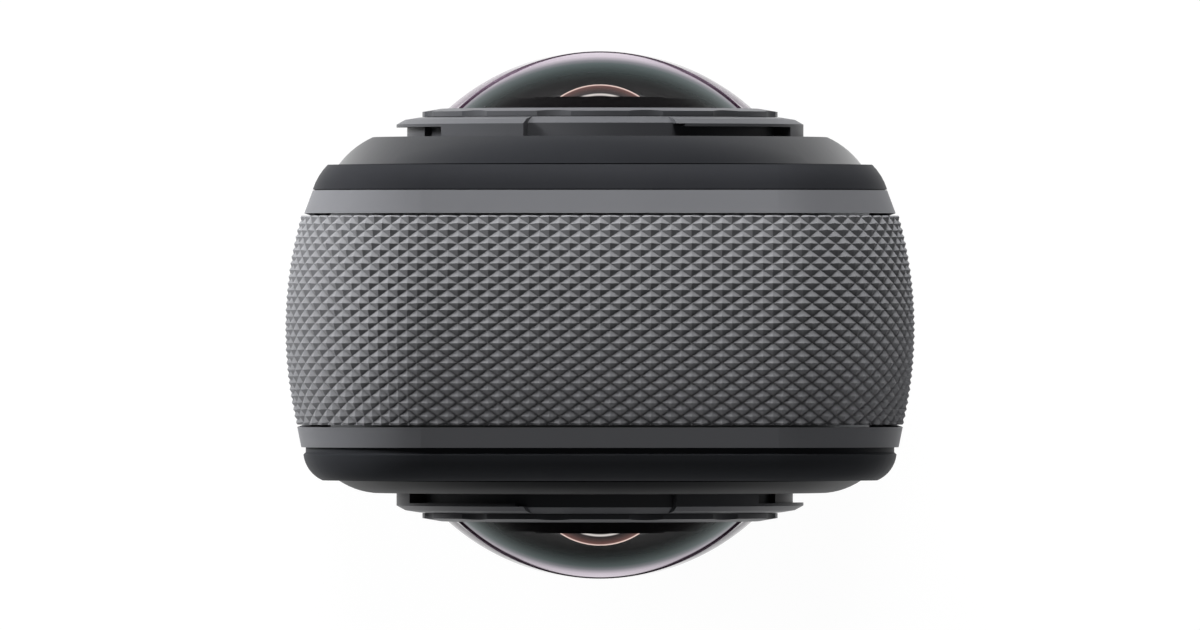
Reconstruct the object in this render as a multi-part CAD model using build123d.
from build123d import *
import math
import os

# Two-lens 360 degree camera, standing upright on its base.
# X runs across the body, Y through it from the screen side (-Y) to the front (+Y), and Z up.
# All lengths are in millimetres and all angles in degrees.

# Body outline, seen from the front
body_width = 46.0
body_height = 124.5
top_corner_radius = 10.0
bottom_corner_radius = 8.0
base_trim = 1.2              # how far the curved underside is planed off to make a flat base
lens_top_margin = 0.68       # from the lens pedestal up to the edge of the flat front

# Side curve of the body, seen from the end
crown_radius = 30.0
crown_y = -1.0

# Layers of the body, from the grip band outwards
grip_front_y = 7.25
grip_rear_y = -8.0
seam_gap = 0.17
front_trim_depth = 1.68
front_cover_depth = 1.87
rear_trim_depth = 1.48
rear_groove_width = 0.36
rear_cover_depth = 2.06

# How far each edge of a layer stands in from the widest outline
front_trim_inset = 1.42
front_cover_inset = 2.04
front_face_inset = 3.12
front_cover_swell = 0.09
rear_trim_inset = 0.9
rear_groove_edge_inset = 1.2
rear_groove_inset = 1.52
rear_cover_inset = 1.35
rear_cover_lip = 0.17        # sloping edge beside the groove
rear_cover_mid_inset = 1.85
rear_face_inset = 2.75
shell_inner_inset = 3.3      # inner wall of every band, and so their thickness at the crown
front_plate_wall = 1.5
rear_plate_wall = 1.2
reveal_width = 0.08          # shadow line where a shell or collar stands on its neighbour
reveal_depth = 0.15

# Clearances, and what every cut and corner keeps to
seat_clearance = 0.05        # pieces that rest on each other
part_clearance = 0.15        # pieces that drop into a pocket
key_clearance = 0.12         # round a button
overrun = 1.0                # how far a cut runs past what it cuts
largest_corner_share = 0.499 # of a side, so that a round end keeps a short straight stretch

# Lens pedestals
lens_seat = 13.06            # from the middle of the camera out to the pedestal's top
pedestal_wall = 2.7          # from the mount's tube out to the pedestal's top edge
pedestal_run = 2.5           # how much further out its foot spreads
pedestal_swell = 0.2

# Bayonet mount round each lens
mount_height = 1.44
mount_tube_radius = 14.0
mount_neck_step = 0.17
mount_wall = 1.5
mount_shoulder_width = 0.8
mount_chamfer_drop = 0.46
tab_count = 3
tab_reach = 0.78             # past the mount's neck
tab_underside = 0.72         # above the pedestal
tab_lip = 0.21
tab_slope_run = 0.64
tab_slope_rise = 0.35
tab_start_angle = 22.0
tab_recess_angle = 47.0
tab_block_angle = 29.0
tab_pocket_angle = 14.0      # deeper end of the recess, beside the block
tab_pocket_depth = 0.5
tab_lead_angle = 5.0
lug_groove_wall = 0.75
lug_groove_height = 1.0
lug_lip_depth = 1.8          # solid lip above the groove
lug_thickness = 0.7
lug_angle = 30.0
lug_slot_angle = 34.0
lens_twist_angle = 40.0
lug_end_play_angle = 1.0
mount_flange_reach = 2.5
mount_flange_thickness = 0.8
mount_depth = 6.0            # from the mount's top down to its flange's back
mount_ledge_reach = 2.05
mount_ledge_thickness = 0.75
mount_ledge_depth = 3.55     # from the mount's top down to the ledge's seat

# Turning lens ring, which carries the dome
ring_edge_margin = 0.25      # in from the mount's shoulder
ring_height = 0.65
ring_edge_height = 0.42
ring_face_width = 0.4
ring_running_gap = 0.1
ring_sleeve_depth = 2.7
ring_sleeve_wall = 0.45
ring_ledge_reach = 0.95
ring_ledge_depth = 1.47
ring_scallops = 12
scallop_depth = 0.35
scallop_radius = 3.0

# Dome glass
dome_height = 4.95           # from the edge of its outer surface up to its top
dome_wall = 1.3
dome_rim_wall = 1.0
dome_edge_drop = 0.03        # from the mount's top down to the edge of the dome's outer surface

# Dome seal, an O-ring under the lens ring
seal_cord_radius = 0.38

# Black baffle, inner glasses and barrel
baffle_seat = 1.7            # from the mount's ledge up to the baffle's underside
baffle_margin = 0.7          # inside the lens ring's bore
baffle_base_thickness = 0.35
baffle_cone_rise = 1.9
baffle_hat_run = 0.6
baffle_hat_rise = 0.4
baffle_nose_wall = 1.5       # round the inner lens
baffle_nose_step = 2.3
baffle_nose_rise = 0.45
inner_lens_radius = 3.35
inner_lens_curve = 5.3
barrel_margin = 0.55         # inside the mount's ledge
barrel_flange_margin = 0.3   # inside the mount's bore
barrel_flange_thickness = 0.75
barrel_foot_wall = 2.0
barrel_lip_width = 0.45
barrel_lip_thickness = 0.8
barrel_seat_width = 1.0
rear_glass_radius = 6.4
rear_glass_curve = 9.0
rear_glass_edge = 1.6
rear_glass_rise = 4.6        # from the barrel's foot up to the glass's seat

# Image sensors, their boards and the plate that cools them
sensor_width = 12.0
sensor_height = 10.0
sensor_thickness = 1.1
sensor_glass_thickness = 0.4
sensor_board_width = 18.0
sensor_board_height = 15.0
sensor_board_thickness = 0.8
heat_plate_thickness = 2.0
sensor_gap = 0.15            # from the sensor's cover up to the barrel's foot

# Screen
screen_side_margin = 1.25    # from the screen's edge to the edge of the flat face
screen_top_margin = 1.9      # below the lens pedestal
screen_bottom_margin = 5.5   # above the keys
screen_corner_radius = 3.5
screen_glass_thickness = 0.8
screen_ledge = 1.4
panel_thickness = 1.3
bracket_thickness = 0.8

# Keys below the screen
key_width = 12.4
key_height = 6.6
key_spacing = 4.0
key_z = 14.0
key_proud = 0.3
key_flange = 0.7
key_flange_thickness = 0.6
key_travel = 0.4
key_rim_radius = 0.22
key_dish_radius = 12.0
key_dish_depth = 0.15
plunger_radius = 0.9
switch_size = 3.2
switch_height = 1.0
switch_stem = 0.2

# Side keys
side_key_width = 4.4
side_key_height = 9.2
side_key_spacing = 1.8
side_key_sink = 0.1
side_flange = 0.6
side_flange_thickness = 0.7
side_shoulder = 1.35         # wall of the band left outside the flange

# Main board
board_side_margin = 2.65     # inside the frame
board_bottom = 6.0
board_top_margin = 1.45      # below the lens mount's flange
board_thickness = 0.8
board_front_gap = 1.2        # from the frame's rear face down to the board
shield_width = 26.0
shield_height = 44.0
shield_bottom = 30.0
shield_depth = 1.05
shield_wall = 0.25
board_corner_radius = 2.0
processor_size = 13.0
chip_height = 0.7
chip_size = 6.0
chip_gap = 1.6

# Battery bay and battery
battery_wall = 1.12          # frame between the battery and the shield can
battery_bottom = 27.0
battery_clearance = 0.25
battery_corner_radius = 2.0
battery_web = 0.35           # frame between the battery's contacts and the USB socket
window_corner_radius = 2.2
battery_cap_depth = 2.1
battery_cap_lap = 0.95       # past the bay, at its ends
battery_cap_border = 0.9
gasket_radius = 0.32
contact_width = 1.2
contact_height = 9.0
contact_count = 4
contact_spacing = 7.5
contact_thickness = 1.2

# Memory card beside the battery
card_width = 11.0
card_length = 15.0
card_thickness = 1.0
socket_wall = 0.5
card_above_bay = 0.55
card_lead = 1.0              # how far its end stands in from the mouth of its socket
card_roof = 2.25             # frame between the socket and the lens mount's flange

# USB socket and its door
usb_width = 8.94
usb_thickness = 3.26
usb_wall = 0.3
usb_length = 7.3
usb_tongue_width = 6.7
usb_tongue_thickness = 0.7
usb_board_thickness = 0.8
door_width = 10.0
door_height = 19.0
door_drop = 10.4             # below the quick key
door_thickness = 1.8
door_corner_radius = 1.2
knuckle_radius = 1.5
hinge_pin_radius = 0.45
hinge_pin_bite = 1.2
usb_drop = 1.43              # from the door's top edge down to its inner rim
plug_margin = 1.1
plug_depth = 1.0
plug_wall = 1.0

# Sliding latches on the battery cover and the USB door
latch_pad_width = 5.0
latch_pad_height = 5.0
latch_travel = 2.4
latch_skin = 0.9
latch_plate_thickness = 1.0
latch_plate_border = 1.2
latch_bolt_width = 4.4
latch_edge_margin = 4.2
latch_rib_count = 3
latch_rib_width = 0.5
latch_pad_corner = 0.6
latch_rib_sink = 0.25
latch_play = 0.08
door_latch_scale = 0.62      # the door's latch is this share of the battery's
door_latch_skin = 0.5
door_latch_plate = 0.55

# Base plate and tripod thread
base_plate_length = 32.0
base_plate_width = 12.2
base_plate_thickness = 2.05
base_plate_corner = 2.0
tripod_bore_radius = 2.6
tripod_insert_wall = 1.8
tripod_flange_reach = 1.0
tripod_flange_thickness = 1.0
tripod_depth = 6.0
tripod_cap = 1.0
claw_slot_width = 2.6
claw_slot_length = 8.4
claw_slot_depth = 1.4
claw_slot_margin = 2.9       # from the tripod flange
base_screw_inset_x = 2.4
base_screw_inset_y = 2.1
screw_head_radius = 1.1
screw_head_height = 0.6
screw_shank_radius = 0.6
screw_shank_length = 3.0
screw_recess_radius = 0.55
screw_recess_depth = 0.35

# Sound and light
speaker_width = 13.0
speaker_height = 9.0
speaker_depth = 2.8
speaker_z = 12.5
speaker_slots = 6
speaker_slot_width = 0.7
speaker_slot_height = 4.6
speaker_slot_pitch = 1.5
guard_length = 8.0
guard_width = 2.2
guard_thickness = 0.5
guard_sink = 0.15
guard_drop = 10.5            # from the lens axis down to the guard's middle
guard_spacing = 5.9          # from the guard down to the power key
guard_hole_radius = 0.28
guard_hole_pitch = 0.95
mic_radius = 0.9
mic_hole_radius = 0.5
mic_thickness = 0.3
mic_margin = 5.5             # from the speaker's end
light_radius = 1.0
light_drop = 5.9             # below the lens pedestal
light_flange = 0.5
light_flange_thickness = 0.5


def cap_radius(reach, height):
    """Radius of a sphere whose cap reaches that far out and rises that high."""
    return (reach ** 2 + height ** 2) / (2 * height)


# Places worked out from the sizes above
half_width = body_width / 2
middle_z = (body_height - base_trim) / 2
inner_x = half_width - shell_inner_inset
front_trim_y = grip_front_y + seam_gap
front_cover_y = front_trim_y + front_trim_depth
front_face_y = front_cover_y + front_cover_depth
rear_trim_y = grip_rear_y - seam_gap
rear_groove_y = rear_trim_y - rear_trim_depth
rear_cover_y = rear_groove_y - rear_groove_width
rear_face_y = rear_cover_y - rear_cover_depth
front_plate_y = front_face_y - front_plate_wall
rear_plate_y = rear_face_y + rear_plate_wall

# The frame and what is stacked on its screen side
panel_rear_y = rear_face_y + screen_glass_thickness + seat_clearance
panel_front_y = panel_rear_y + panel_thickness
frame_inset = shell_inner_inset + seat_clearance
frame_half_width = half_width - frame_inset
frame_front_y = front_plate_y - seat_clearance
frame_rear_y = panel_front_y + seat_clearance
board_rear_y = frame_rear_y + board_front_gap
board_front_y = board_rear_y + board_thickness
shield_front_y = board_front_y + shield_depth
key_switch_y = board_rear_y - switch_height

# The pedestal, lens mount and ring, in radius and in height from the middle of the camera
pedestal_top_radius = mount_tube_radius + pedestal_wall
pedestal_foot_radius = pedestal_top_radius + pedestal_run
lens_z = body_height - front_face_inset - lens_top_margin - pedestal_foot_radius
mount_neck_radius = mount_tube_radius + mount_neck_step
mount_bore_radius = mount_tube_radius - mount_wall
mount_shoulder_radius = mount_bore_radius + mount_shoulder_width
mount_flange_radius = mount_tube_radius + mount_flange_reach
mount_ledge_radius = mount_bore_radius - mount_ledge_reach
mount_top = lens_seat + mount_height
mount_back = mount_top - mount_depth
mount_ledge_top = mount_top - mount_ledge_depth
tab_radius = mount_neck_radius + tab_reach
lug_groove_radius = mount_tube_radius - lug_groove_wall
lug_radius = lug_groove_radius - part_clearance
groove_top = mount_top - lug_lip_depth
groove_floor = groove_top - lug_groove_height
ring_radius = mount_shoulder_radius - ring_edge_margin
ring_sleeve_radius = mount_bore_radius - ring_running_gap
ring_seat_radius = ring_sleeve_radius - ring_sleeve_wall
ring_bore_radius = ring_seat_radius - ring_ledge_reach
ring_top = mount_top + ring_height
sleeve_end = mount_top - ring_sleeve_depth

# The dome, and what lies under it
dome_rim_radius = ring_seat_radius - seat_clearance
dome_foot = mount_top - ring_ledge_depth + seat_clearance
dome_apex = mount_top - dome_edge_drop + dome_height
dome_radius = cap_radius(dome_rim_radius, dome_height)
dome_centre = dome_apex - dome_radius
dome_inner_apex = dome_apex - dome_wall
dome_inner_rim_radius = dome_rim_radius - dome_rim_wall
dome_inner_radius = cap_radius(dome_inner_rim_radius, dome_inner_apex - dome_foot)
dome_inner_centre = dome_inner_apex - dome_inner_radius
baffle_foot = mount_ledge_top + baffle_seat
baffle_nose = baffle_foot + baffle_base_thickness + baffle_cone_rise + baffle_hat_rise + baffle_nose_rise
barrel_radius = mount_ledge_radius - barrel_margin
barrel_flange_radius = mount_bore_radius - barrel_flange_margin
barrel_top = baffle_foot - seat_clearance
barrel_bore_radius = rear_glass_radius + 4 * seat_clearance
frame_bore_radius = barrel_flange_radius + 8 * seat_clearance
sensor_board_low = heat_plate_thickness / 2 + seat_clearance
sensor_low = sensor_board_low + sensor_board_thickness
barrel_end = sensor_low + sensor_thickness + sensor_glass_thickness + sensor_gap
glass_seat = barrel_end + rear_glass_rise

# Screen, keys and board, seen from the front
screen_width = 2 * (half_width - rear_face_inset - screen_side_margin)
screen_bottom = key_z + key_height / 2 + key_flange + screen_bottom_margin
screen_height = lens_z - pedestal_foot_radius - screen_top_margin - screen_bottom
screen_mid_z = screen_bottom + screen_height / 2
key_pitch = key_width + key_spacing
board_width = 2 * (frame_half_width - board_side_margin)
board_height = lens_z - mount_flange_radius - part_clearance - board_top_margin - board_bottom
board_mid_z = board_bottom + board_height / 2
light_z = lens_z - pedestal_foot_radius - light_drop
mic_x = speaker_width / 2 + mic_margin
speaker_back_y = frame_front_y - speaker_depth

# The side pieces, from the lens axis down
guard_z = lens_z - guard_drop
power_key_z = guard_z - (guard_length + side_key_height) / 2 - guard_spacing
quick_key_z = power_key_z - side_key_height - side_key_spacing
door_top = quick_key_z - side_key_height / 2 - door_drop
door_pivot_z = door_top - door_height
door_pivot_x = half_width - knuckle_radius
door_inner_x = half_width - door_thickness
usb_z = door_top - usb_drop - plug_margin - plug_wall - usb_width / 2
shoulder_x = half_width - side_shoulder

# The battery bay, with the card socket over it
battery_y = 0.0
battery_thickness = 2 * (-shield_front_y - seat_clearance - battery_wall - battery_clearance)
bay_end_x = frame_half_width - usb_length - seat_clearance - battery_web
battery_reach = bay_end_x - contact_thickness - battery_clearance
card_pocket_height = card_above_bay + card_thickness + 2 * (socket_wall + part_clearance)
bay_top = lens_z - mount_flange_radius - part_clearance - card_roof - card_pocket_height
card_z = bay_top + card_above_bay + socket_wall
battery_height = bay_top - battery_clearance - battery_bottom
battery_mid_z = battery_bottom + battery_height / 2
cap_inner_x = inner_x - battery_cap_depth
cap_inset = part_clearance + battery_cap_border
window_low = battery_bottom - battery_clearance - battery_cap_lap - cap_inset
window_high = bay_top + card_pocket_height + cap_inset
battery_cap_width = battery_thickness + 2 * (battery_clearance - gasket_radius - seat_clearance)
battery_window_width = battery_cap_width + 2 * cap_inset
battery_window_height = window_high - window_low
battery_window_z = (window_low + window_high) / 2

# The base
tripod_insert_radius = tripod_bore_radius + tripod_insert_wall
tripod_flange_radius = tripod_insert_radius + tripod_flange_reach
tripod_height = tripod_depth + tripod_cap
screw_length = screw_head_height + screw_shank_length
claw_slot_x = tripod_flange_radius + claw_slot_margin + claw_slot_width / 2
base_screw_x = base_plate_length / 2 - base_screw_inset_x
base_screw_y = base_plate_width / 2 - base_screw_inset_y


# Planes and basic solids

def across(y):
    """Drawing plane at depth y: a drawing's x and y are the camera's X and Z."""
    return Plane((0, y, 0), x_dir=(1, 0, 0), z_dir=(0, -1, 0))


def prism(sketch, y0, y1):
    """A drawing in X and Z, made solid from depth y0 to y1."""
    return extrude(across(y0) * sketch, amount=y1 - y0, dir=(0, 1, 0))


def side_prism(sketch, x0, x1):
    """A drawing in Y and Z, made solid from x0 to x1."""
    plane = Plane((x0, 0, 0), x_dir=(0, 1, 0), z_dir=(1, 0, 0))
    return extrude(plane * sketch, amount=x1 - x0, dir=(1, 0, 0))


def upright(sketch, z0, z1):
    """A drawing in X and Y, made solid from height z0 to z1."""
    return extrude(Pos(0, 0, z0) * sketch, amount=z1 - z0, dir=(0, 0, 1))


def oblong(width, height, radius, grow=0.0):
    """A rounded rectangle, grown evenly, whose corners never outgrow it."""
    width, height = width + 2 * grow, height + 2 * grow
    limit = largest_corner_share * min(width, height)
    return RectangleRounded(width, height, min(radius + grow, limit))


def oval(width, height, grow=0.0):
    """A rectangle with fully round ends on its short sides, grown evenly."""
    return oblong(width, height, max(width, height), grow)


def plain_rectangle(left, right, bottom, top):
    return Pos((left + right) / 2, (bottom + top) / 2) * Rectangle(right - left, top - bottom)


def box_between(low, high):
    """A box from its lowest to its highest corner."""
    size = [b - a for a, b in zip(low, high)]
    middle = [(a + b) / 2 for a, b in zip(low, high)]
    return Pos(*middle) * Box(*size)


def turned(points, arc=360.0, start=0.0):
    """A profile of (radius, height) points turned about Z through arc, from the start angle."""
    face = Plane.XZ * make_face(Polyline(*points, close=True))
    return Rot(0, 0, start) * revolve(face, Axis.Z, arc)


def turned_edges(edges):
    """A profile of edges, drawn in radius and height, turned about Z."""
    return revolve(Plane.XZ * make_face(edges), Axis.Z)


def disc(radius, low, high):
    """A plain round disc between two heights."""
    return Pos(0, 0, (low + high) / 2) * Cylinder(radius, high - low)


def tube(outer, inner, low, high):
    """A plain round tube between two heights."""
    return disc(outer, low, high) - disc(inner, low - overrun, high + overrun)


def bulge(start, end, out, up):
    """Middle point of a gently swelling curve from start to end."""
    return ((start[0] + end[0]) / 2 + out, (start[1] + end[1]) / 2 + up)


def both_sides(solid):
    """A solid on the +X side, with its mirror image on the -X side."""
    return solid + mirror(solid, about=Plane.YZ)


def lens_disc(radius, y0, y1):
    """A round disc on the lens axis, between two depths."""
    return prism(Pos(0, lens_z) * Circle(radius), y0, y1)


# Bands and shells of the body

def corner(cx, cz, radius, sx, sz):
    """A quarter of the outline about (cx, cz), anticlockwise, on the side of the signs sx and sz."""
    slant = radius * math.sqrt(0.5)
    ends = [(cx + sx * radius, cz), (cx, cz + sz * radius)]
    if sx * sz < 0:
        ends.reverse()
    return ThreePointArc(ends[0], (cx + sx * slant, cz + sz * slant), ends[1])


def outline(inset):
    """Front outline of the body, drawn in X and Z, set in evenly."""
    half = half_width - inset
    top, bottom = body_height - inset, inset - base_trim
    rt, rb = top_corner_radius - inset, bottom_corner_radius - inset
    return Wire([
        Line((half, middle_z), (half, top - rt)),
        corner(half - rt, top - rt, rt, 1, 1),
        Line((half - rt, top), (rt - half, top)),
        corner(rt - half, top - rt, rt, -1, 1),
        Line((-half, top - rt), (-half, bottom + rb)),
        corner(rb - half, bottom + rb, rb, -1, -1),
        Line((rb - half, bottom), (half - rb, bottom)),
        corner(half - rb, bottom + rb, rb, 1, -1),
        Line((half, bottom + rb), (half, middle_z)),
    ])


def crown_inset(y):
    """How far the barrel-shaped side stands in from its widest line at depth y."""
    return crown_radius - math.sqrt(crown_radius ** 2 - (y - crown_y) ** 2)


def at(inset, y):
    """A point of a band's section, from its inset and depth."""
    return (half_width - inset, y)


def band(edges):
    """Sweeps a section, drawn in inset and depth, round the body outline, and planes its base flat."""
    section = Pos(0, 0, middle_z) * make_face(edges)
    reach = body_width + overrun
    under_base = box_between((-reach, -reach, -reach), (reach, reach, 0))
    return sweep(section, path=across(0) * outline(0)) - under_base


def grip_ring():
    """The full grip band, before its windows."""
    front = at(crown_inset(grip_front_y), grip_front_y)
    rear = at(crown_inset(grip_rear_y), grip_rear_y)
    inner_front = (inner_x, grip_front_y)
    inner_rear = (inner_x, grip_rear_y)
    return band([
        ThreePointArc(front, at(0, crown_y), rear),
        Line(rear, inner_rear),
        Line(inner_rear, inner_front),
        Line(inner_front, front),
    ])


def trim_band(start_inset, start_y, end_inset, end_y):
    """A straight-sided band between two depths."""
    points = [at(start_inset, start_y), at(end_inset, end_y), (inner_x, end_y), (inner_x, start_y)]
    return band([Polyline(*points, close=True)])


def front_trim_band():
    return trim_band(front_trim_inset, front_trim_y, front_cover_inset, front_cover_y)


def rear_trim_band():
    return trim_band(rear_trim_inset, rear_trim_y, rear_groove_edge_inset, rear_groove_y)


def front_cover():
    """Front shell: a sloping rim round a flat plate, with its holes."""
    lip_y = front_cover_y + reveal_width
    foot, top = at(front_cover_inset, lip_y), at(front_face_inset, front_face_y)
    mid = bulge(foot, top, front_cover_swell, front_cover_swell)
    reveal_inset = front_cover_inset + reveal_depth
    reveal_foot, reveal_top = at(reveal_inset, front_cover_y), at(reveal_inset, lip_y)
    inner_top, inner_foot = (inner_x, front_face_y), (inner_x, front_cover_y)
    shell = band([
        ThreePointArc(foot, mid, top),
        Line(top, inner_top),
        Line(inner_top, inner_foot),
        Line(inner_foot, reveal_foot),
        Line(reveal_foot, reveal_top),
        Line(reveal_top, foot),
    ])
    shell += prism(Face(outline(shell_inner_inset)), front_plate_y, front_face_y)
    back, front = front_plate_y - overrun, front_face_y + overrun
    shell -= lens_disc(mount_tube_radius + seat_clearance, back, front)
    light = Pos(0, light_z) * Circle(light_radius + seat_clearance)
    light_seat = Pos(0, light_z) * Circle(light_radius + light_flange + seat_clearance)
    shell -= prism(light, back, front) + prism(light_seat, back, front_plate_y + light_flange_thickness)
    shell -= prism(speaker_slots_sketch(), back, front)
    mic = Pos(mic_x, speaker_z)
    shell -= prism(mic * Circle(mic_hole_radius), back, front)
    shell -= prism(mic * Circle(mic_radius + seat_clearance), back, front_plate_y + mic_thickness)
    return shell


def rear_cover():
    """Screen-side shell: a grooved, rounded rim round a flat plate, with its windows."""
    lip, edge = at(rear_groove_inset, rear_groove_y), at(rear_groove_inset, rear_cover_y)
    shoulder = at(rear_cover_inset, rear_cover_y - rear_cover_lip)
    face = at(rear_face_inset, rear_face_y)
    mid = at(rear_cover_mid_inset, (rear_cover_y + 2 * rear_face_y) / 3)
    inner_face, inner_lip = (inner_x, rear_face_y), (inner_x, rear_groove_y)
    shell = band([
        Line(lip, edge),
        Line(edge, shoulder),
        ThreePointArc(shoulder, mid, face),
        Line(face, inner_face),
        Line(inner_face, inner_lip),
        Line(inner_lip, lip),
    ])
    shell += prism(Face(outline(shell_inner_inset)), rear_face_y, rear_plate_y)
    boss_top = -mount_back - mount_flange_thickness - seat_clearance
    shell += lens_disc(mount_flange_radius, rear_face_y, boss_top)
    outside, inside = rear_face_y - overrun, rear_plate_y + overrun
    shell -= lens_disc(mount_tube_radius + seat_clearance, outside, boss_top + overrun)
    screen = Pos(0, screen_mid_z)
    glass = screen * oblong(screen_width, screen_height, screen_corner_radius, key_clearance)
    window = screen * oblong(screen_width, screen_height, screen_corner_radius, -screen_ledge / 2)
    shell -= prism(glass, outside, panel_rear_y) + prism(window, outside, inside)
    for x in key_places():
        shell -= prism(Pos(x, key_z) * oval(key_width, key_height, key_clearance), outside, inside)
    mic = Pos(0, key_z)
    shell -= prism(mic * Circle(mic_hole_radius), outside, inside)
    shell -= prism(mic * Circle(mic_radius + seat_clearance), rear_plate_y - mic_thickness, inside)
    return shell


# Side openings of the grip band

def through_band(sketch):
    """A drawing in Y and Z, cut right through the +X side of the grip band."""
    return side_prism(sketch, inner_x - overrun, half_width + overrun)


def door_slab(grow):
    """The door's outline above its hinge line, with round top corners."""
    reach = door_width / 2 + grow
    sketch = plain_rectangle(crown_y - reach, crown_y + reach, door_pivot_z, door_top + grow)
    return fillet(sketch.vertices().sort_by(Axis.Y)[-2:], door_corner_radius + grow)


def door_window():
    """What the door, its knuckle and their swing need cleared from the band."""
    reach = door_width / 2 + part_clearance
    swing = knuckle_radius + part_clearance
    foot = plain_rectangle(crown_y - reach, crown_y + reach, door_pivot_z - swing, door_pivot_z)
    return through_band(door_slab(part_clearance)) + through_band(foot)


def key_aperture(z):
    """Stepped hole in the band for a side key: the cap's hole outside, the flange's inside."""
    place = Pos(crown_y, z)
    hole = place * oval(side_key_width, side_key_height, key_clearance)
    wide = place * oval(side_key_width, side_key_height, side_flange + key_clearance)
    return through_band(hole) + side_prism(wide, inner_x - overrun, shoulder_x)


def guard_pocket():
    """Recess for a wind guard, with the sound hole behind it."""
    place = Pos(crown_y, guard_z)
    floor = half_width - guard_sink - guard_thickness - seat_clearance
    recess = place * oval(guard_width, guard_length, seat_clearance)
    sound = place * oval(guard_width / 2, guard_length / 2)
    return side_prism(recess, floor, half_width + overrun) + through_band(sound)


def battery_window_sketch(grow):
    window = oblong(battery_window_width, battery_window_height, window_corner_radius, grow)
    return Pos(battery_y, battery_window_z) * window


def battery_slab(grow, x0, x1):
    """The battery cover's outline, grown evenly, from x0 to x1 out along -X."""
    return side_prism(battery_window_sketch(grow), -x1, -x0)


def base_sketch(grow):
    return Pos(0, battery_y) * oblong(base_plate_length, base_plate_width, base_plate_corner, grow)


def grip_band():
    """Soft outer band, with its windows for the battery, door, keys, wind guards and base plate."""
    ring = grip_ring()
    ring -= battery_slab(0, inner_x - overrun, half_width + overrun)
    ring -= door_window()
    for z in (power_key_z, quick_key_z):
        ring -= key_aperture(z)
    ring -= both_sides(guard_pocket())
    ring -= upright(base_sketch(part_clearance), -overrun, shell_inner_inset)
    ring -= hinge_bar(hinge_pin_radius + seat_clearance / 2, hinge_pin_bite + seat_clearance)
    ring -= mirror(battery_latch_set()["keeper"], about=Plane.YZ)
    return ring - door_latch_set()["keeper"]


# Sliding latches

def latch_set(scale, skin, plate, lid_edge, window_edge, y):
    """Slide latch under a lid's top edge, on the +X side: its slider, its cavity and its keeper.

    At rest the slider is down and free. Up by its travel, its bolt stands in the keeper past the edge.
    """
    outer, inner = half_width - skin, half_width - skin - plate
    pad_half, bolt_half = latch_pad_width * scale / 2, latch_bolt_width * scale / 2
    travel, border = latch_travel * scale, latch_plate_border * scale
    pad_top = lid_edge - latch_edge_margin * scale
    pad_bottom = pad_top - latch_pad_height * scale
    plate_half, plate_top, plate_bottom = pad_half + border, pad_top + border, pad_bottom - border
    play, corner_radius = latch_play, latch_pad_corner * scale

    def pad(grow, rise):
        width, height = 2 * (pad_half + grow), pad_top - pad_bottom + rise + 2 * grow
        return Pos(y, (pad_top + pad_bottom + rise) / 2) * oblong(width, height, corner_radius)

    def strip(half, bottom, top):
        return plain_rectangle(y - half, y + half, bottom, top)

    slider = side_prism(pad(0, 0), outer - skin / 2, half_width + overrun)
    slider += side_prism(strip(plate_half, plate_bottom, plate_top), inner, outer)
    slider += side_prism(strip(bolt_half, plate_top, lid_edge - part_clearance), inner, outer)
    groove_floor_x = half_width - crown_inset(y + pad_half) - latch_rib_sink * scale
    rib = latch_rib_width * scale
    for i in range(latch_rib_count):
        z = pad_bottom + (i + 1) * (pad_top - pad_bottom) / (latch_rib_count + 1)
        groove = strip(pad_half - rib, z - rib / 2, z + rib / 2)
        slider -= side_prism(groove, groove_floor_x, half_width + 2 * overrun)

    cavity = side_prism(pad(play, travel), outer, half_width + 2 * overrun)
    run = strip(plate_half + play, plate_bottom - play, plate_top + travel + play)
    mouth = strip(bolt_half + play, plate_top, lid_edge + overrun)
    for sketch in (run, mouth):
        cavity += side_prism(sketch, inner - play, outer + play)
    slot = strip(bolt_half + part_clearance, window_edge, window_edge + travel)
    keeper = side_prism(slot, inner - part_clearance, outer + part_clearance)
    return {"slider": slider, "cavity": cavity, "keeper": keeper}


def battery_latch_set():
    edge = window_high
    return latch_set(1.0, latch_skin, latch_plate_thickness, edge - part_clearance, edge, battery_y)


def battery_latch():
    slider = battery_latch_set()["slider"] & grip_ring()
    return mirror(slider, about=Plane.YZ)


def door_latch_set():
    edge = door_top + part_clearance
    return latch_set(door_latch_scale, door_latch_skin, door_latch_plate, door_top, edge, crown_y)


def usb_door_latch():
    return door_latch_set()["slider"] & grip_ring()


# Battery and memory card

def battery_cover():
    """Outer lid that continues the grip band, with a cap that plugs the bay behind it."""
    lid = grip_ring() & battery_slab(-part_clearance, inner_x - overrun, half_width + overrun)
    lid += battery_slab(-cap_inset, cap_inner_x, inner_x)
    lid -= gasket_cord(gasket_radius + seat_clearance)
    return lid - mirror(battery_latch_set()["cavity"], about=Plane.YZ)


def gasket_cord(radius):
    """A round cord laid round the battery cap's side."""
    plane = Plane((-(cap_inner_x + inner_x) / 2, 0, 0), x_dir=(0, 1, 0), z_dir=(1, 0, 0))
    path = plane * battery_window_sketch(-cap_inset).faces()[0].outer_wire()
    section = Plane(path @ 0, x_dir=(1, 0, 0), z_dir=path % 0) * Circle(radius)
    return sweep(section, path=path)


def battery_gasket():
    return gasket_cord(gasket_radius)


def battery_sketch(grow):
    cell = oblong(battery_thickness, battery_height, battery_corner_radius, grow)
    return Pos(battery_y, battery_mid_z) * cell


def battery_pack():
    return side_prism(battery_sketch(0), -cap_inner_x, battery_reach)


def battery_contacts():
    """Contacts that face the inner end of the battery."""
    blades = Part()
    for i in range(contact_count):
        z = battery_mid_z + (i - (contact_count - 1) / 2) * contact_spacing
        blade = Pos(battery_y, z) * oval(contact_height, 2 * contact_width)
        blades += side_prism(blade, battery_reach + battery_clearance, bay_end_x)
    return blades


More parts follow.
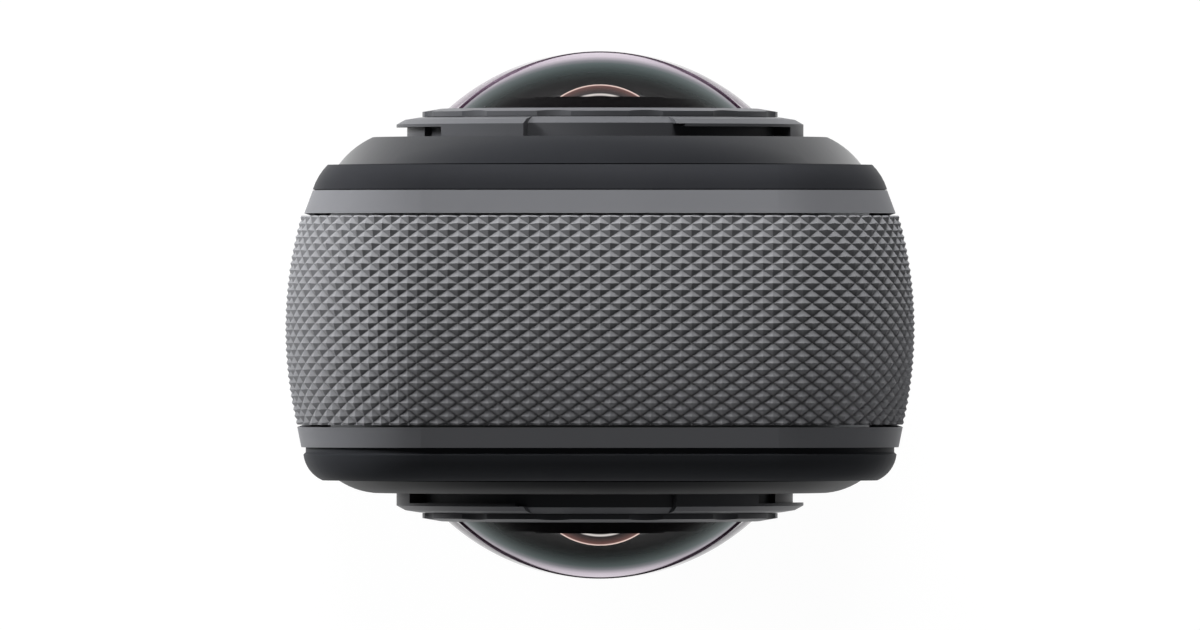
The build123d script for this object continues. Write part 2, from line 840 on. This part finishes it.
def card_box(x0, x1, grow_y, grow_z):
    """A flat box round the card's section, from x0 to x1 out along -X."""
    half = card_width / 2 + grow_y
    low = (-x1, battery_y - half, card_z - grow_z)
    high = (-x0, battery_y + half, card_z + card_thickness + grow_z)
    return box_between(low, high)


def card_end_x():
    """Distance of the card's outer end from the middle."""
    return cap_inner_x - battery_clearance - card_lead


def memory_card():
    return card_box(card_end_x() - card_length, card_end_x(), 0, 0)


def card_socket():
    """Thin metal sleeve round the card, open at its outer end."""
    inner, outer = card_end_x() - card_length - part_clearance, card_end_x() + card_lead
    wall_z = socket_wall / 2
    sleeve = card_box(inner - socket_wall, outer, part_clearance + socket_wall, part_clearance + wall_z)
    return sleeve - card_box(inner, outer + overrun, part_clearance, part_clearance)


# USB socket, door and hinge

def hinge_bar(radius, bite):
    """A round bar on the door's hinge line, reaching bite past the door's window at each end."""
    reach = door_width / 2 + part_clearance + bite
    return prism(Pos(door_pivot_x, door_pivot_z) * Circle(radius), crown_y - reach, crown_y + reach)


def usb_hinge_pin():
    return hinge_bar(hinge_pin_radius, hinge_pin_bite)


def usb_door():
    """Side door with its knuckle at the foot and a rim that closes round the socket."""
    knuckle = Pos(door_pivot_x, door_pivot_z) * Circle(knuckle_radius)
    door = side_prism(door_slab(0), door_inner_x, half_width + overrun)
    door += prism(knuckle, crown_y - door_width / 2, crown_y + door_width / 2)
    door &= grip_ring()
    door += side_prism(plug_sketch(0) - plug_sketch(-plug_wall), door_inner_x - plug_depth, door_inner_x)
    door -= hinge_bar(hinge_pin_radius + seat_clearance, overrun)
    return door - door_latch_set()["cavity"]


def usb_sketch(grow):
    return Pos(crown_y, usb_z) * oval(usb_thickness, usb_width, grow)


def plug_sketch(grow):
    """Outline of the door's inner rim."""
    return usb_sketch(plug_margin + plug_wall + grow)


def usb_door_seal():
    """Soft ring on the door's rim, which meets the frame round the socket."""
    ring = plug_sketch(-seat_clearance) - plug_sketch(seat_clearance - plug_wall)
    return side_prism(ring, frame_half_width + part_clearance, door_inner_x - plug_depth)


def usb_port():
    """Socket shell with its tongue, on its own small board."""
    inner = frame_half_width - usb_length
    port = side_prism(usb_sketch(0), inner, frame_half_width)
    port -= side_prism(usb_sketch(-usb_wall), inner + usb_wall, frame_half_width + overrun)
    tongue = Pos(crown_y, usb_z) * Rectangle(usb_tongue_thickness, usb_tongue_width)
    port += side_prism(tongue, inner + usb_wall / 2, frame_half_width - 2 * usb_wall)
    return port + usb_board(0)


def usb_board(grow):
    """The socket's board, on its screen side, grown evenly at its free edges."""
    inner = frame_half_width - usb_length - grow
    seat = crown_y - usb_thickness / 2 + usb_wall / 2
    reach = usb_width / 2 + grow
    low = (inner, seat - usb_board_thickness - grow, usb_z - reach)
    return box_between(low, (frame_half_width - usb_wall, seat, usb_z + reach))


# Keys and switches

def key_places():
    """Where the two keys under the screen sit: the shutter key, then the lens key."""
    return (-key_pitch / 2, key_pitch / 2)


def rear_key(x):
    """An oval key under the screen, with a shallow thumb dish, a flange and a plunger."""
    place = Pos(x, key_z)
    top = rear_face_y - key_proud
    flange_y = rear_plate_y + seat_clearance
    flange_end = flange_y + key_flange_thickness
    key = prism(place * oval(key_width, key_height), top, flange_y)
    key += prism(place * oval(key_width, key_height, key_flange), flange_y, flange_end)
    rim = key.edges().filter_by_position(Axis.Y, top - seat_clearance, top + seat_clearance)
    key = fillet(rim, key_rim_radius)
    key -= Pos(x, top + key_dish_depth - key_dish_radius, key_z) * Sphere(key_dish_radius)
    tip = key_switch_y - key_travel - seat_clearance
    return key + prism(place * Circle(plunger_radius), flange_end, tip)


def shutter_key():
    return rear_key(key_places()[0])


def lens_key():
    return rear_key(key_places()[1])


def switch_sketch(grow=0.0):
    return oblong(switch_size, switch_size, plunger_radius / 2, grow)


def key_switches():
    """Two small switches on the main board, behind the keys."""
    switches = Part()
    stem_foot = key_switch_y + switch_stem
    for x in key_places():
        place = Pos(x, key_z)
        switches += prism(place * switch_sketch(), stem_foot, board_rear_y)
        switches += prism(place * Circle(plunger_radius), key_switch_y, stem_foot)
    return switches


def side_key(z):
    """A flush oval key in the grip band's side, with its flange and plunger."""
    place = Pos(crown_y, z)
    shoulder = shoulder_x - seat_clearance
    flange_end = shoulder - side_flange_thickness
    cap = side_prism(place * oval(side_key_width, side_key_height), shoulder, half_width)
    cap &= Pos(-side_key_sink, 0, 0) * grip_ring()
    key = cap + side_prism(place * oval(side_key_width, side_key_height, side_flange), flange_end, shoulder)
    tip = frame_half_width + key_travel + seat_clearance
    return key + side_prism(place * Circle(plunger_radius), tip, flange_end)


def power_key():
    return side_key(power_key_z)


def quick_key():
    return side_key(quick_key_z)


def side_switches():
    """Two small switches let into the frame's side, behind the side keys."""
    switches = Part()
    stem_foot = frame_half_width - switch_stem
    for z in (power_key_z, quick_key_z):
        place = Pos(crown_y, z)
        switches += side_prism(place * switch_sketch(), frame_half_width - switch_height, stem_foot)
        switches += side_prism(place * Circle(plunger_radius), stem_foot, frame_half_width)
    return switches


# Screen and boards

def screen_sketch(grow):
    return Pos(0, screen_mid_z) * oblong(screen_width, screen_height, screen_corner_radius, grow)


def screen_glass():
    return prism(screen_sketch(0), rear_face_y, rear_face_y + screen_glass_thickness)


def behind_screen():
    """How much smaller than the glass the pieces behind it are."""
    return -(screen_ledge / 2 + part_clearance)


def screen_panel():
    return prism(screen_sketch(behind_screen()), panel_rear_y, panel_front_y)


def screen_bracket():
    """Stiff tray behind the panel, with two slots for its cables."""
    end = frame_rear_y + bracket_thickness
    tray = prism(screen_sketch(behind_screen()), frame_rear_y, end)
    for side in (-1, 1):
        place = Pos(side * screen_width / 4, screen_bottom + screen_height / 6)
        slot = place * oval(screen_width / 6, switch_size)
        tray -= prism(slot, frame_rear_y - overrun, end + overrun)
    return tray


def shield_sketch(grow):
    can = oblong(shield_width, shield_height, board_corner_radius, grow)
    return Pos(0, shield_bottom + shield_height / 2) * can


def board_sketch(grow):
    return Pos(0, board_mid_z) * oblong(board_width, board_height, board_corner_radius, grow)


def main_board():
    """Main board, with the processor in the middle of its can and a chip on each side of it."""
    board = prism(board_sketch(0), board_rear_y, board_front_y)
    top = board_front_y + chip_height
    place = Pos(0, shield_bottom + shield_height / 2)
    board += prism(place * Rectangle(processor_size, processor_size), board_front_y, top)
    offset = (processor_size + chip_size) / 2 + chip_gap
    for side in (-1, 1):
        chip = place * Pos(0, side * offset) * Rectangle(processor_size, chip_size)
        board += prism(chip, board_front_y, top)
    return board


def shield_can():
    """Pressed steel can over the chips, on the battery side of the board."""
    can = prism(shield_sketch(0), board_front_y, shield_front_y)
    return can - prism(shield_sketch(-shield_wall), board_front_y - overrun, shield_front_y - shield_wall)


# Frame

def frame_pockets_rear():
    """What the screen's tray, the board, its can and the rear lens mount take out of the frame."""
    outside, play = frame_rear_y - overrun, part_clearance
    tray_y = frame_rear_y + bracket_thickness + seat_clearance
    pockets = lens_disc(mount_flange_radius + play, outside, seat_clearance - mount_back)
    pockets += prism(screen_sketch(behind_screen() + play), outside, tray_y)
    pockets += prism(board_sketch(play), outside, board_front_y + seat_clearance)
    return pockets + prism(shield_sketch(play), frame_rear_y, shield_front_y + seat_clearance)


def frame_pockets_front():
    """What the front lens mount and the speaker take out of the frame."""
    outside = frame_front_y + overrun
    pockets = lens_disc(mount_flange_radius + part_clearance, mount_back - seat_clearance, outside)
    return pockets + prism(speaker_sketch(part_clearance), speaker_back_y - seat_clearance, outside)


def frame_pockets_battery():
    """What the battery, its cap and the card socket take out of the frame."""
    pockets = side_prism(battery_sketch(battery_clearance), -frame_half_width - overrun, bay_end_x)
    mouth = gasket_radius + seat_clearance - cap_inset
    pockets += battery_slab(mouth, cap_inner_x - battery_clearance, frame_half_width + overrun)
    play = socket_wall + 2 * part_clearance
    half = card_width / 2 + play
    low = (-cap_inner_x, battery_y - half, bay_top - battery_clearance)
    high = (card_length + play - card_end_x(), battery_y + half, bay_top + card_pocket_height)
    return pockets + box_between(low, high)


def frame_pockets_side():
    """What the USB socket and the side switches take out of the frame."""
    outside = frame_half_width + overrun
    port_end = frame_half_width - usb_length - seat_clearance
    pockets = side_prism(usb_sketch(seat_clearance), port_end, outside) + usb_board(seat_clearance)
    switch_end = frame_half_width - switch_height - seat_clearance
    for z in (power_key_z, quick_key_z):
        pockets += side_prism(Pos(crown_y, z) * switch_sketch(seat_clearance), switch_end, outside)
    return pockets


def frame_pockets_base():
    """What the tripod bush and the base screws take out of the frame."""
    insert = Pos(0, battery_y) * Circle(tripod_insert_radius + part_clearance)
    pockets = upright(insert, 0, tripod_height + seat_clearance)
    for x, y in base_screw_places():
        pockets += upright(Pos(x, y) * screw_hole(), 0, screw_length + seat_clearance)
    return pockets


def mid_frame():
    """Inner chassis that carries the bands, covers, lenses, boards and battery."""
    frame = prism(Face(outline(frame_inset)), frame_rear_y, frame_front_y)
    frame -= lens_disc(frame_bore_radius, frame_rear_y - overrun, frame_front_y + overrun)
    frame -= frame_pockets_rear()
    frame -= frame_pockets_front()
    frame -= frame_pockets_battery()
    frame -= frame_pockets_side()
    return frame - frame_pockets_base()


# Base and fasteners

def base_screw_places():
    sides = (-1, 1)
    return [(sx * base_screw_x, battery_y + sy * base_screw_y) for sx in sides for sy in sides]


def screw_hole():
    return Circle(screw_shank_radius + seat_clearance)


def base_plate():
    """Metal foot plate with the tripod bush's seat, two claw slots and four screw holes."""
    plate = upright(base_sketch(0), 0, base_plate_thickness)
    middle, through = Pos(0, battery_y), base_plate_thickness + overrun
    seat = middle * Circle(tripod_flange_radius + seat_clearance)
    plate -= upright(seat, -overrun, tripod_flange_thickness + seat_clearance)
    plate -= upright(middle * Circle(tripod_insert_radius + seat_clearance), -overrun, through)
    for side in (-1, 1):
        slot = Pos(side * claw_slot_x, battery_y) * oval(claw_slot_width, claw_slot_length)
        plate -= upright(slot, -overrun, claw_slot_depth)
    head_seat = Circle(screw_head_radius + seat_clearance)
    for x, y in base_screw_places():
        plate -= upright(Pos(x, y) * head_seat, -overrun, screw_head_height + seat_clearance)
        plate -= upright(Pos(x, y) * screw_hole(), -overrun, through)
    return plate


def tripod_insert():
    """Metal bush with the tripod thread's bore, closed at its inner end."""
    bush = disc(tripod_flange_radius, 0, tripod_flange_thickness)
    bush += disc(tripod_insert_radius, 0, tripod_height)
    bush -= disc(tripod_bore_radius, -overrun, tripod_depth)
    return Pos(0, battery_y, 0) * bush


def base_screws():
    """Four screws with hexagon recesses, heads down and flush with the base."""
    screw = disc(screw_head_radius, 0, screw_head_height)
    screw += disc(screw_shank_radius, screw_head_height, screw_length)
    screw -= extrude(RegularPolygon(screw_recess_radius, 6), screw_recess_depth)
    group = Part()
    for x, y in base_screw_places():
        group += Pos(x, y, 0) * screw
    return group


# Sound and light

def speaker_slots_sketch():
    sketch = Sketch()
    for i in range(speaker_slots):
        x = (i - (speaker_slots - 1) / 2) * speaker_slot_pitch
        sketch += Pos(x, speaker_z) * oval(speaker_slot_width, speaker_slot_height)
    return sketch


def speaker_sketch(grow):
    return Pos(0, speaker_z) * oblong(speaker_width, speaker_height, speaker_depth / 2, grow)


def speaker():
    return prism(speaker_sketch(0), speaker_back_y, frame_front_y)


def wind_guards():
    """Perforated steel guards over the side microphones, curved like the grip band."""
    outer = half_width - guard_sink
    inner = outer - guard_thickness
    guard = side_prism(Pos(crown_y, guard_z) * oval(guard_width, guard_length), inner, outer)
    guard &= Pos(-guard_sink, 0, 0) * grip_ring()
    holes = Part()
    rows = int(guard_length / guard_hole_pitch) - 1
    for i in range(rows):
        z = guard_z + (i - (rows - 1) / 2) * guard_hole_pitch
        for side in (-1, 1):
            hole = Pos(crown_y + side * guard_hole_pitch / 2, z) * Circle(guard_hole_radius)
            holes += side_prism(hole, inner - overrun, outer + overrun)
    return both_sides(guard - holes)


def microphone_meshes():
    """Fine mesh discs behind the front and rear sound holes."""
    thickness, mesh = mic_thickness - seat_clearance, Circle(mic_radius)
    front = prism(Pos(mic_x, speaker_z) * mesh, front_plate_y, front_plate_y + thickness)
    return front + prism(Pos(0, key_z) * mesh, rear_plate_y - thickness, rear_plate_y)


def status_light():
    """Clear light pipe in the front cover, held by its flange."""
    place = Pos(0, light_z)
    flange_end = front_plate_y + light_flange_thickness - seat_clearance
    pipe = prism(place * Circle(light_radius), front_plate_y, front_face_y)
    return pipe + prism(place * Circle(light_radius + light_flange), front_plate_y, flange_end)


# Lens unit, drawn about Z with heights measured from the middle of the camera

def pedestal(foot):
    """Raised round collar that carries a lens mount, standing on a cover's face at height foot."""
    bore = mount_tube_radius + seat_clearance
    lip = foot + reveal_width
    outer_foot, outer_top = (pedestal_foot_radius, lip), (pedestal_top_radius, lens_seat)
    mid = bulge(outer_foot, outer_top, pedestal_swell, pedestal_swell / 2)
    reveal_radius = pedestal_foot_radius - reveal_depth
    return turned_edges([
        ThreePointArc(outer_foot, mid, outer_top),
        Line(outer_top, (bore, lens_seat)),
        Line((bore, lens_seat), (bore, foot)),
        Line((bore, foot), (reveal_radius, foot)),
        Line((reveal_radius, foot), (reveal_radius, lip)),
        Line((reveal_radius, lip), outer_foot),
    ])


def mount_shell():
    """The mount's tube, neck, flange and inner ledge, before its tabs and grooves."""
    flange_top = mount_back + mount_flange_thickness
    shell = turned([
        (mount_bore_radius, mount_back),
        (mount_flange_radius, mount_back),
        (mount_flange_radius, flange_top),
        (mount_tube_radius, flange_top),
        (mount_tube_radius, lens_seat),
        (mount_neck_radius, lens_seat),
        (mount_neck_radius, mount_top - mount_chamfer_drop),
        (mount_shoulder_radius, mount_top),
        (mount_bore_radius, mount_top),
    ])
    ledge_foot = mount_ledge_top - mount_ledge_thickness
    return shell + tube(mount_tube_radius, mount_ledge_radius, ledge_foot, mount_ledge_top)


def tab_section(underside):
    """Section of a mount tab, from its underside to its sloping top."""
    rim_top = lens_seat + tab_underside + tab_lip
    return [
        (mount_bore_radius, lens_seat + underside),
        (tab_radius, lens_seat + underside),
        (tab_radius, rim_top),
        (tab_radius - tab_slope_run, rim_top + tab_slope_rise),
        (mount_shoulder_radius, mount_top),
        (mount_bore_radius, mount_top),
    ]


def ring_section(inner, outer, low, high):
    """A rectangular section of (radius, height) points."""
    return [(inner, low), (outer, low), (outer, high), (inner, high)]


def lens_mount():
    """Fixed bayonet mount: outer tabs for a lens guard, inner groove for the lens ring's lugs."""
    mount = mount_shell()
    pitch = 360.0 / tab_count
    groove_arc = lug_angle + lens_twist_angle + 2 * lug_end_play_angle
    slot_arc = min(lug_slot_angle, groove_arc)
    inner = mount_bore_radius - ring_running_gap
    lip = lens_seat + tab_underside + tab_lip
    lead = ring_section(mount_neck_radius, tab_radius + overrun, lens_seat, lip)
    pocket_floor = mount_neck_radius - tab_pocket_depth
    pocket = ring_section(pocket_floor, tab_radius + overrun, lens_seat, lens_seat + tab_underside)
    groove = ring_section(inner, lug_groove_radius, groove_floor, groove_top)
    entry = ring_section(inner, lug_groove_radius, groove_top, mount_top + overrun)
    for i in range(tab_count):
        tab_start = i * pitch + tab_start_angle
        mount += turned(tab_section(tab_underside), tab_recess_angle, tab_start)
        block_start = tab_start + tab_recess_angle
        mount += turned(tab_section(0), tab_block_angle, block_start)
        mount -= turned(pocket, tab_pocket_angle, block_start - tab_pocket_angle)
        mount -= turned(lead, tab_lead_angle, tab_start - tab_lead_angle / 2)
        lug_start = i * pitch - lug_angle / 2
        mount -= turned(groove, groove_arc, lug_start - lug_end_play_angle)
        mount -= turned(entry, slot_arc, lug_start + lens_twist_angle - (slot_arc - lug_angle) / 2)
    return mount


def lens_ring():
    """Turning ring that holds the dome, with grip scallops and three bayonet lugs."""
    sit = mount_top + seat_clearance
    ledge = mount_top - ring_ledge_depth
    lip_radius = dome_reach(ring_top) + 2 * seat_clearance
    ring = turned([
        (ring_bore_radius, sleeve_end),
        (ring_sleeve_radius, sleeve_end),
        (ring_sleeve_radius, sit),
        (ring_radius, sit),
        (ring_radius, mount_top + ring_edge_height),
        (lip_radius + ring_face_width, ring_top),
        (lip_radius, ring_top),
        (ring_seat_radius, dome_rise(ring_seat_radius) + seat_clearance / 2),
        (ring_seat_radius, ledge),
        (ring_bore_radius, ledge),
    ])
    bite = ring_radius + scallop_radius - scallop_depth
    for i in range(ring_scallops):
        angle = math.radians((i + 0.5) * 360.0 / ring_scallops)
        cutter = disc(scallop_radius, mount_top, ring_top + overrun)
        ring -= Pos(bite * math.cos(angle), bite * math.sin(angle), 0) * cutter
    lug_top = groove_top - seat_clearance
    lug = ring_section(ring_bore_radius, lug_radius, lug_top - lug_thickness, lug_top)
    for i in range(tab_count):
        ring += turned(lug, lug_angle, i * 360.0 / tab_count - lug_angle / 2)
    return ring


def arc_mid(radius, centre, edge_radius):
    """Middle point of the arc from a sphere's apex to its edge, seen in section."""
    half = math.asin(edge_radius / radius) / 2
    return (radius * math.sin(half), centre + radius * math.cos(half))


def dome_rise(radius):
    """Height of the dome's outer surface at a distance from its axis."""
    return dome_centre + math.sqrt(dome_radius ** 2 - radius ** 2)


def dome_reach(height):
    """Distance of the dome's outer surface from its axis at a height."""
    return math.sqrt(dome_radius ** 2 - (height - dome_centre) ** 2)


def dome():
    """Meniscus dome: a thick shell between two spheres, ground flat at its rim."""
    rim, inner_rim = (dome_rim_radius, dome_rise(dome_rim_radius)), (dome_inner_rim_radius, dome_foot)
    mid = arc_mid(dome_radius, dome_centre, dome_rim_radius)
    inner_mid = arc_mid(dome_inner_radius, dome_inner_centre, dome_inner_rim_radius)
    return turned_edges([
        ThreePointArc((0, dome_apex), mid, rim),
        Line(rim, (dome_rim_radius, dome_foot)),
        Line((dome_rim_radius, dome_foot), inner_rim),
        ThreePointArc(inner_rim, inner_mid, (0, dome_inner_apex)),
        Line((0, dome_inner_apex), (0, dome_apex)),
    ])


def dome_seal():
    """O-ring on the mount's ledge, under the lens ring's sleeve."""
    middle = (mount_bore_radius + mount_ledge_radius) / 2
    return Pos(0, 0, mount_ledge_top + seal_cord_radius) * Torus(middle, seal_cord_radius)


def baffle():
    """Stepped matt black baffle that fills the dome's foot."""
    bore = inner_lens_radius + seat_clearance
    base_radius = ring_bore_radius - baffle_margin
    nose_radius = bore + baffle_nose_wall
    hat_radius = nose_radius + baffle_nose_step
    cone_radius = hat_radius + baffle_hat_run
    base_top = baffle_foot + baffle_base_thickness
    hat_top = base_top + baffle_cone_rise + baffle_hat_rise
    return turned([
        (bore, baffle_foot),
        (base_radius, baffle_foot),
        (base_radius, base_top),
        (cone_radius, base_top + baffle_cone_rise),
        (hat_radius, hat_top),
        (nose_radius + baffle_nose_rise / 2, hat_top),
        (nose_radius, baffle_nose),
        (bore, baffle_nose),
    ])


def cap_lens(radius, edge_radius, curve, edge_z, foot_z):
    """A glass with a flat back at foot_z and a spherical front that meets edge_radius at edge_z."""
    centre = edge_z - math.sqrt(curve ** 2 - edge_radius ** 2)
    apex, edge = (0, centre + curve), (edge_radius, edge_z)
    corners = [(radius, edge_z), (radius, foot_z), (0, foot_z), apex]
    if radius > edge_radius:
        corners.insert(0, edge)
    return turned_edges([
        ThreePointArc(apex, arc_mid(curve, centre, edge_radius), edge),
        Polyline(*corners),
    ])


def inner_lens():
    """Small second glass, seen through the dome."""
    return cap_lens(inner_lens_radius, inner_lens_radius, inner_lens_curve, baffle_nose, baffle_foot)


def lens_barrel():
    """Stepped barrel with the seats of the inner glasses, hung from the mount's ledge."""
    flange_top = mount_ledge_top - mount_ledge_thickness - seat_clearance
    flange_foot = flange_top - barrel_flange_thickness
    foot_radius = barrel_bore_radius + barrel_foot_wall
    seat_radius = barrel_bore_radius - barrel_seat_width
    lip_radius = inner_lens_radius - barrel_lip_width
    lip_foot = barrel_top - barrel_lip_thickness
    return turned([
        (lip_radius, barrel_top),
        (barrel_radius, barrel_top),
        (barrel_radius, flange_top),
        (barrel_flange_radius, flange_top),
        (barrel_flange_radius, flange_foot),
        (foot_radius, flange_foot),
        (foot_radius, barrel_end),
        (barrel_bore_radius, barrel_end),
        (barrel_bore_radius, glass_seat),
        (seat_radius, glass_seat),
        (seat_radius, lip_foot),
        (lip_radius, lip_foot),
    ])


def rear_glass():
    """Last lens element, resting against the step in the barrel."""
    edge = glass_seat - seat_clearance
    edge_radius = barrel_bore_radius - barrel_seat_width - seat_clearance
    return cap_lens(rear_glass_radius, edge_radius, rear_glass_curve, edge, edge - rear_glass_edge)


def chip_box(height, width, low, high):
    """A flat box on the lens axis: its height runs up the camera, its width across it."""
    return box_between((-height / 2, -width / 2, low), (height / 2, width / 2, high))


def sensor_board():
    return chip_box(sensor_board_height, sensor_board_width, sensor_board_low, sensor_low)


def image_sensor():
    """Sensor chip with its cover glass."""
    top, rim = sensor_low + sensor_thickness, sensor_thickness / 2
    glass = chip_box(sensor_height - rim, sensor_width - rim, top, top + sensor_glass_thickness)
    return chip_box(sensor_height, sensor_width, sensor_low, top) + glass


def heat_plate():
    """Plate between the two sensor boards that carries their heat into the frame."""
    half = heat_plate_thickness / 2
    return lens_disc(frame_bore_radius - seat_clearance / 2, -half, half)


# Every piece by name

BODY_PIECES = [
    mid_frame, grip_band, front_trim_band, rear_trim_band, front_cover, rear_cover,
    base_plate, tripod_insert, base_screws, heat_plate, main_board, shield_can,
    screen_glass, screen_panel, screen_bracket, shutter_key, lens_key, key_switches,
    power_key, quick_key, side_switches, usb_port, usb_door, usb_door_seal, usb_hinge_pin,
    usb_door_latch, battery_pack, battery_cover, battery_gasket, battery_latch,
    battery_contacts, memory_card, card_socket, speaker, wind_guards, microphone_meshes,
    status_light,
]

LENS_PIECES = [
    lens_mount, lens_ring, dome, dome_seal, baffle, inner_lens, lens_barrel, rear_glass,
    image_sensor, sensor_board,
]


def write(solid, name):
    export_step(solid, f"parts/{name}.step")


def main():
    os.makedirs("parts", exist_ok=True)
    for make in BODY_PIECES:
        write(make(), make.__name__)
    for side, facing, cover_face in (("front", 1, front_face_y), ("rear", -1, -rear_face_y)):
        place = Plane((0, 0, lens_z), x_dir=(0, 0, 1), z_dir=(0, facing, 0))
        write(place * pedestal(cover_face), f"{side}_pedestal")
        for make in LENS_PIECES:
            write(place * make(), f"{side}_{make.__name__}")


main()
